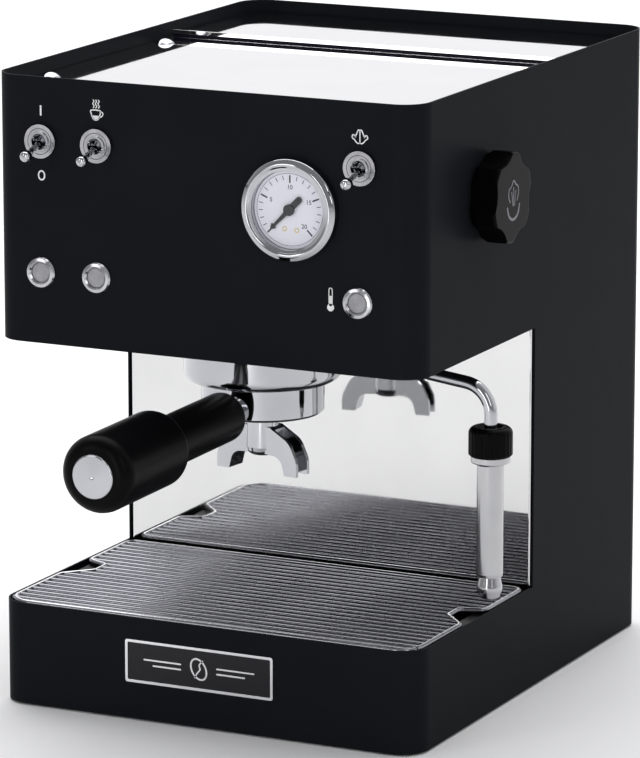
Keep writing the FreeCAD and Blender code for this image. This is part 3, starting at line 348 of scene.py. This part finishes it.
BADGE_FIELD = material(
    "badge_enamel", (0.006, 0.006, 0.008), (0.004, 0.004, 0.006), (0.15, 0.25),
    grain=1500, depth=0.003, specular=0.3,
)


def finish_nodes():
    for name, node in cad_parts.items():
        for slot in node.material_slots:
            slot.material = NODE_FINISHES.get(name) or FINISHES[slot.material.name]


# Flat printed marks.


def smooth(points, steps=6, closed=False):
    """Points along a soft curve through the given ones."""
    count = len(points)
    spans = count if closed else count - 1
    path = []
    for index in range(spans):
        if closed:
            near = [points[(index + shift) % count] for shift in (-1, 0, 1, 2)]
        else:
            near = [points[min(max(index + shift, 0), count - 1)] for shift in (-1, 0, 1, 2)]
        before, start, end, after = (Vector(point) for point in near)
        for step in range(steps):
            part = step / steps
            path.append(
                0.5
                * (
                    2 * start
                    + (end - before) * part
                    + (2 * before - 5 * start + 4 * end - after) * part**2
                    + (3 * start - before - 3 * end + after) * part**3
                )
            )
    if not closed:
        path.append(Vector(points[-1]))
    return path


def mirrored(points):
    """A path that ends on the middle line, carried on as its own mirror image."""
    return points + [(-across, up) for across, up in points[-2::-1]]


def sideways(path, index, closed):
    """The unit vector across a path at one of its points."""
    if closed:
        along = path[(index + 1) % len(path)] - path[index - 1]
    else:
        along = path[min(index + 1, len(path) - 1)] - path[max(index - 1, 0)]
    along.normalize()
    return Vector((-along.y, along.x))


def stroke(path, width):
    """The outline of a pen stroke with round ends."""
    path = [Vector(point) for point in path]
    half = width / 2
    left = [point + sideways(path, index, False) * half for index, point in enumerate(path)]
    right = [point - sideways(path, index, False) * half for index, point in enumerate(path)]
    ends = []
    for centre, start in ((path[-1], left[-1]), (path[0], right[0])):
        arm = start - centre
        ends.append([centre + Matrix.Rotation(-math.pi * step / 6, 2) @ arm for step in range(1, 6)])
    return [left + ends[0] + right[::-1] + ends[1]]


def loop_stroke(path, width):
    """A closed pen stroke, as one quad after another."""
    path = [Vector(point) for point in path]
    sides = [sideways(path, index, True) * width / 2 for index in range(len(path))]
    quads = []
    for index, point in enumerate(path):
        following = (index + 1) % len(path)
        quads.append(
            [
                point + sides[index],
                path[following] + sides[following],
                path[following] - sides[following],
                point - sides[index],
            ]
        )
    return quads


def oval(centre, wide, high, count=40):
    """The outline of an oval of the given half width and half height."""
    return [
        Vector(centre) + Vector((wide * math.cos(turn), high * math.sin(turn)))
        for turn in (2 * math.pi * step / count for step in range(count))
    ]


def rounded_plate(wide, high, radius, centre=(0, 0), count=6):
    """The outline of a rectangle with round corners."""
    outline = []
    for side_u, side_v, first in ((1, 1, 0), (-1, 1, 90), (-1, -1, 180), (1, -1, 270)):
        middle = Vector(centre) + Vector((side_u * (wide / 2 - radius), side_v * (high / 2 - radius)))
        for step in range(count + 1):
            turn = math.radians(first + 90 * step / count)
            outline.append(middle + radius * Vector((math.cos(turn), math.sin(turn))))
    return outline


def mark(name, faces, origin, right, up, body, finish, lift=0.06, sunk=0.06):
    """A thin raised layer: faces in mm across right and up from origin, standing lift out of the surface."""
    outwards = right.cross(up)
    shape = bmesh.new()
    for face in faces:
        flat = [origin + (right * point[0] + up * point[1]) * MM for point in face]
        top = [shape.verts.new(point + outwards * lift * MM) for point in flat]
        foot = [shape.verts.new(point - outwards * sunk * MM) for point in flat]
        shape.faces.new(top)
        shape.faces.new(foot[::-1])
        for index in range(len(flat)):
            following = (index + 1) % len(flat)
            shape.faces.new((top[index], foot[index], foot[following], top[following]))
    bmesh.ops.remove_doubles(shape, verts=shape.verts, dist=1e-7)
    bmesh.ops.recalc_face_normals(shape, faces=shape.faces)
    data = bpy.data.meshes.new(name)
    shape.to_mesh(data)
    shape.free()
    data.materials.append(finish)
    piece = bpy.data.objects.new(name, data)
    bpy.context.scene.collection.objects.link(piece)
    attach(piece, body)


def middle_of(node):
    low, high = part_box(node)
    return (low + high) / 2


def on_front(node, right=0.0, up=0.0):
    """The point of the front face at a node's middle, moved by so many mm."""
    middle = middle_of(node)
    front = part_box("body_shell")[0].y
    return Vector((middle.x + right * MM, front, middle.z + up * MM))


def make_icons():
    """White symbols beside the switches and the lights."""

    def print_icon(name, faces, place):
        mark(name, faces, place, RIGHT, UP, "machine", INK_WHITE)

    print_icon("icon_on", stroke([(0, -2.6), (0, 2.6)], 1.1), on_front("power_switch", -0.5, 17.8))
    print_icon("icon_off", loop_stroke(oval((0, 0), 2.0, 2.6), 0.9), on_front("power_switch", -0.4, -20.4))

    bowl = [(-3.5, 0.4), (2.5, 0.4), (2.3, -1.8), (1.3, -4.4), (-0.5, -5.2), (-2.3, -4.4), (-3.3, -1.8)]
    filled = [(-3.1, -2.6), (2.1, -2.6), (1.2, -4.5), (-0.5, -5.2), (-2.2, -4.5)]
    handle = [(2.4, -0.4), (3.9, -0.6), (4.1, -1.9), (2.9, -3.2), (1.9, -3.4)]
    cup = loop_stroke(smooth(bowl, 4, True), 0.7) + [filled] + stroke(smooth(handle), 0.7)
    for shift in (-2.1, -0.4, 1.3):
        wave = [(shift, 1.9), (shift + 0.6, 2.9), (shift - 0.3, 4.3), (shift + 0.5, 5.6), (shift + 0.1, 6.5)]
        cup += stroke(smooth(wave), 0.6)
    print_icon("icon_cup", cup, on_front("brew_switch", -0.5, 20.0))

    plume = stroke([(0, 2.9), (0, -3.4)], 0.7)
    plume += stroke(smooth(mirrored([(-2.9, -0.5), (-2.0, 1.7), (-0.9, 3.7), (0, 3.3)])), 0.7)
    left_leaf = [
        (-2.9, -0.3), (-3.5, 0.6), (-4.4, 0.7), (-4.8, -0.8),
        (-3.4, -2.0), (-2.2, -3.4), (-0.9, -4.0), (0, -3.5),
    ]
    plume += stroke(smooth(mirrored(left_leaf)), 0.7)
    print_icon("icon_steam", plume, on_front("steam_switch", -0.7, 17.9))

    stem = [(-1.0, -2.6), (-1.0, 5.6), (0, 6.6), (1.0, 5.6), (1.0, -2.6)]
    thermometer = stroke(smooth(stem, 5), 0.5)
    thermometer += [oval((0, -4.6), 2.2, 2.2), rounded_plate(1.8, 6.0, 0.4, centre=(0, -0.8))]
    print_icon("icon_heat", thermometer, on_front("heat_light", -17.2, 0.6))


def make_knob_icon():
    """A grey cloud of steam over an open bowl, on the end of the steam knob."""
    cloud = [
        (-4.6, -2.0), (-6.6, 1.4), (-6.2, 5.4), (-3.0, 7.0), (0.2, 10.0),
        (3.4, 7.6), (6.6, 5.6), (7.0, 1.6), (5.0, -2.0),
    ]
    bowl = [(-8.4, -5.0), (-6.2, -9.8), (-2.4, -12.2), (0.4, -12.6), (3.4, -12.0), (6.8, -9.6), (8.6, -5.0)]
    faces = stroke(smooth(cloud), 1.0)
    for start_u, start_v, end_u in ((-2.6, 3.6, -0.8), (0.2, 6.0, 0.3), (3.2, 3.8, 1.6)):
        faces += stroke(smooth([(start_u, start_v), ((start_u + end_u) / 2, 0.0), (end_u, -4.4)]), 0.9)
    faces += stroke(smooth(bowl), 1.6)
    place = middle_of("steam_knob")
    place.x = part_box("steam_knob")[1].x
    mark("knob_icon", faces, place, BACK, UP, "knob", INK_GREY)


# Gauge dial: lengths in mm from its middle.

SCALE_TOP = 20
SCALE_START = math.radians(225)
SCALE_SPAN = math.radians(270)
SCALE_RADIUS = 19.6
CIRCLE_RADIUS = 20.9
NUMBER_RADIUS = 12.9
NUMBER_SIZE = 3.6
NUMBER_BOLDNESS = 0.06
NUMBER_EVERY = 5
LONG_TICK = (3.8, 0.95)
SHORT_TICK = (2.2, 0.5)
DIAL_PRINT = 0.03


def dial_place():
    place = middle_of("gauge_dial")
    place.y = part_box("gauge_dial")[0].y
    return place


def dial_direction(value):
    """The unit vector from the dial's middle to a value on its scale."""
    turn = SCALE_START - SCALE_SPAN * value / SCALE_TOP
    return Vector((math.cos(turn), math.sin(turn)))


def dial_mark(name, faces, finish):
    mark(
        name, faces, dial_place(), RIGHT, UP, "machine", finish,
        lift=DIAL_PRINT, sunk=DIAL_PRINT,
    )


def make_dial():
    """Ticks along the scale in a thin circle, two small rings, and a number at each long tick."""
    long_ticks = []
    short_ticks = []
    for value in range(SCALE_TOP + 1):
        direction = dial_direction(value)
        long = value % NUMBER_EVERY == 0
        length, width = LONG_TICK if long else SHORT_TICK
        ends = [direction * SCALE_RADIUS, direction * (SCALE_RADIUS - length)]
        (long_ticks if long else short_ticks).extend(stroke(ends, width))
    dial_mark("dial_long_ticks", long_ticks, DIAL_INK)
    dial_mark("dial_short_ticks", short_ticks, DIAL_GREY)
    circle = oval((0, 0), CIRCLE_RADIUS, CIRCLE_RADIUS, 96)
    dial_mark("dial_circle", loop_stroke(circle, 0.25), DIAL_GREY)
    dots = []
    for centre in ((-3.3, -11.2), (4.3, -11.6)):
        dots += loop_stroke(oval(centre, 1.2, 1.2, 20), 0.6)
    dial_mark("dial_dots", dots, DIAL_YELLOW)
    for value in range(NUMBER_EVERY, SCALE_TOP + 1, NUMBER_EVERY):
        make_number(value)


def make_number(value):
    """A plain number on the dial, inside its long tick."""
    name = f"dial_number_{value}"
    letters = bpy.data.curves.new(name, "FONT")
    letters.body = str(value)
    letters.size = NUMBER_SIZE * MM
    letters.align_x = "CENTER"
    letters.align_y = "CENTER"
    letters.extrude = DIAL_PRINT * MM
    letters.offset = NUMBER_BOLDNESS * MM
    source = bpy.data.objects.new(name, letters)
    data = bpy.data.meshes.new_from_object(source)
    bpy.data.objects.remove(source)
    bpy.data.curves.remove(letters)
    data.name = name
    data.materials.clear()
    data.materials.append(DIAL_GREY)
    at = dial_direction(value) * NUMBER_RADIUS * MM
    place = dial_place() + RIGHT * at.x + UP * at.y
    data.transform(Matrix.Translation(place) @ Matrix.Rotation(math.pi / 2, 4, "X"))
    piece = bpy.data.objects.new(name, data)
    bpy.context.scene.collection.objects.link(piece)
    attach(piece, "machine")


# Soft edges, the nuts' painted groove shade and the lid lip's painted dark reflection, in mm.

SOFT_EDGES = (
    ("double_spout", 1.4, 3),
    ("portafilter_ring", 0.4, 2),
    ("steam_knob", 1.2, 3),
    ("wand_tip", 0.8, 3),
)
GROOVE_RADIUS = 7.6
GROOVE_WIDTH = 0.4
STRIP_FOOT = 0.1
STRIP_TOP = 2.3
STRIP_SHORTER = 0.6


def soften(node, width, segments):
    """Rounds the sharp edges of a node by so many mm."""
    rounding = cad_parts[node].modifiers.new("soft_edges", "BEVEL")
    rounding.width = width * MM
    rounding.segments = segments
    rounding.limit_method = "ANGLE"
    rounding.angle_limit = math.radians(40)


def make_nut_grooves():
    """Painted shade of a turned groove: a thin dark ring round the middle of each switch's nut."""
    origin = middle_of("switch_nuts")
    origin.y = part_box("switch_nuts")[0].y
    rings = []
    for name in ("power", "brew", "steam"):
        offset = (middle_of(f"{name}_switch") - origin) / MM
        rings += loop_stroke(oval((offset.x, offset.z), GROOVE_RADIUS, GROOVE_RADIUS, 48), GROOVE_WIDTH)
    mark("nut_painted_groove_shade", rings, origin, RIGHT, UP, "machine", GROOVE_SHADE, lift=0.02, sunk=0.1)


def make_lid_rim():
    """A painted dark reflection: a thin dark layer along the lower part of the lid's lip."""
    low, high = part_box("tank_lid")
    half = ((high.x - low.x) / MM - STRIP_SHORTER) / 2
    strip = [(-half, STRIP_FOOT), (half, STRIP_FOOT), (half, STRIP_TOP), (-half, STRIP_TOP)]
    origin = Vector(((low.x + high.x) / 2, low.y, low.z))
    mark("lid_painted_reflection_strip", [strip], origin, RIGHT, UP, "lid", PAINTED_LIP_REFLECTION, lift=0.1, sunk=0.1)


# Badge: the width of its frame, the depth of its window and the gap round the field, in mm.

BADGE_BORDER = 1.6
BADGE_WINDOW = 0.65
FIELD_GAP = 0.1


def make_badge():
    """A black enamel field with a coffee bean between two pairs of lines."""
    low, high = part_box("badge_plate")
    window_floor = middle_of("badge_plate")
    window_floor.y = low.y + BADGE_WINDOW * MM
    wide = (high.x - low.x) / MM - 2 * BADGE_BORDER - FIELD_GAP
    tall = (high.z - low.z) / MM - 2 * BADGE_BORDER - FIELD_GAP
    mark(
        "badge_field", [rounded_plate(wide, tall, 0.8)], window_floor, RIGHT, UP, "machine",
        BADGE_FIELD, lift=0.1, sunk=0.02,
    )
    bean = loop_stroke([Matrix.Rotation(0.5, 2) @ point for point in oval((0, 0), 4.6, 6.6, 48)], 1.1)
    crease = [(2.6, 5.2), (0.4, 2.6), (0.9, 0.0), (-0.9, -2.4), (-2.6, -5.2)]
    bean += stroke(smooth(crease), 0.9)
    lines = []
    for side in (-1, 1):
        for height, reach in ((1.6, 36.0), (-1.6, 30.0)):
            lines += stroke([(side * 12.0, height), (side * reach, height)], 1.0)
    for name, faces in (("badge_bean", bean), ("badge_lines", lines)):
        mark(
            name, faces, window_floor, RIGHT, UP, "machine", FINISHES["badge_silver"],
            lift=0.35, sunk=0.0,
        )


# Studio.

STUDIO_FRONT = (0.3, 0.3, 0.31)
STUDIO_BACK = (0.98, 0.98, 1.0)
FLOOR_REACH = 12.0
FLOOR_GAP = 0.0002
FLOOR = material(
    "studio_floor", (0.9, 0.9, 0.9), (0.88, 0.88, 0.885), (0.75, 0.9),
    grain=40, depth=0.0, patch=0.6, specular=0.0,
)
# Each light's name, place, aim, width and height in metres, and power in watts.
LIGHTS = (
    ("backdrop_light", (-0.7, 1.6, 2.6), (-0.7, 1.6, 0), 3.0, 4.0, 90),
    ("key_softbox", (0.1, -1.2, 0.4), (0, 0, 0.25), 0.16, 0.8, 1.6),
    ("front_softbox", (-0.75, -1.55, 0.75), (0, 0, 0.2), 0.5, 0.7, 2.8),
    ("side_softbox", (1.9, -1.6, 1.2), (0, 0, 0.3), 0.4, 1.4, 5),
)


def make_floor():
    """A wide pale floor, a hair below the feet."""
    shape = bmesh.new()
    bmesh.ops.create_grid(shape, x_segments=8, y_segments=8, size=FLOOR_REACH)
    data = bpy.data.meshes.new("floor")
    shape.to_mesh(data)
    shape.free()
    data.materials.append(FLOOR)
    floor = bpy.data.objects.new("floor", data)
    floor.location.z = -FLOOR_GAP
    bpy.context.scene.collection.objects.link(floor)


def make_light(name, place, target, wide, high, power):
    data = bpy.data.lights.new(name, "AREA")
    data.shape = "RECTANGLE"
    data.size = wide
    data.size_y = high
    data.energy = power
    light = bpy.data.objects.new(name, data)
    light.location = place
    light.rotation_euler = (Vector(target) - Vector(place)).to_track_quat("-Z", "Y").to_euler()
    bpy.context.scene.collection.objects.link(light)


def make_world():
    """An even studio: white behind the machine, greyer on the side it faces."""
    world = bpy.data.worlds.new("studio")
    world.use_nodes = True
    tree = world.node_tree
    background = tree.nodes["Background"]
    way = add(tree, "ShaderNodeTexCoord").outputs["Generated"]
    forward = add(tree, "ShaderNodeSeparateXYZ", sockets={"Vector": way}).outputs["Y"]
    behind = add(
        tree,
        "ShaderNodeMapRange",
        sockets={"Value": forward, "From Min": -0.4, "From Max": 0.5, "To Min": 0.0, "To Max": 1.0},
    )
    tint = blend_colours(tree, behind.outputs["Result"], STUDIO_FRONT, STUDIO_BACK)
    tree.links.new(tint, background.inputs["Color"])
    bpy.context.scene.world = world
    bpy.context.scene.view_settings.view_transform = "Standard"


make_camera()
make_floor()
make_world()
for light_values in LIGHTS:
    make_light(*light_values)
finish_nodes()
make_icons()
make_knob_icon()
make_dial()
make_badge()
make_nut_grooves()
make_lid_rim()
for soft_values in SOFT_EDGES:
    soften(*soft_values)
